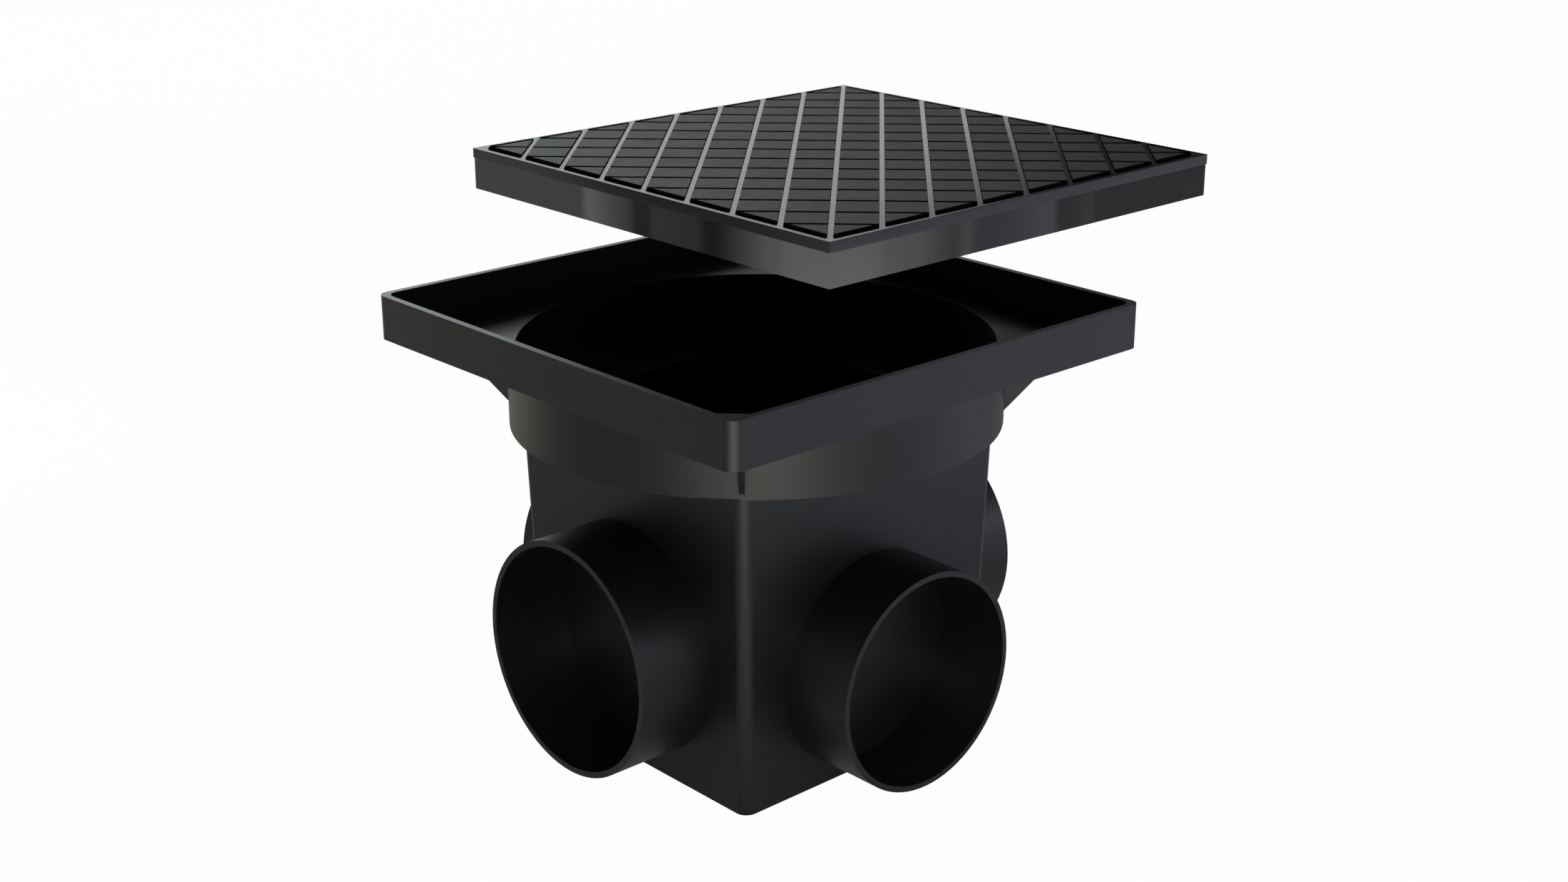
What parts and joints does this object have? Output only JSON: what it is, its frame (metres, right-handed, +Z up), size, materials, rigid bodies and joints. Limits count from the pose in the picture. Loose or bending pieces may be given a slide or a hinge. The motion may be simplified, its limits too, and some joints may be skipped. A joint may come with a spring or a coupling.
{
  "type": "drain inspection chamber",
  "caption": "Square black plastic drain chamber with a round collar, side pipe connections closed by thin end walls, and a lifted-off cover with a diagonal anti-slip tread.",
  "frame": {"origin": "centre of the underside of the chamber's flat base", "axes": "+Z up out of the chamber, +X along the outlet spigot, +Y towards the back inlet socket"},
  "size_m": [0.3232, 0.3197, 0.3372],
  "materials": {
    "chamber_plastic": "black polypropylene, satin, straight from the mould",
    "cover_plastic": "black polypropylene, satin, with a slate grain on the tread pads"
  },
  "bodies": {
    "root": {"chamber": "chamber_plastic", "cover": "cover_plastic"}
  },
  "joints": []
}
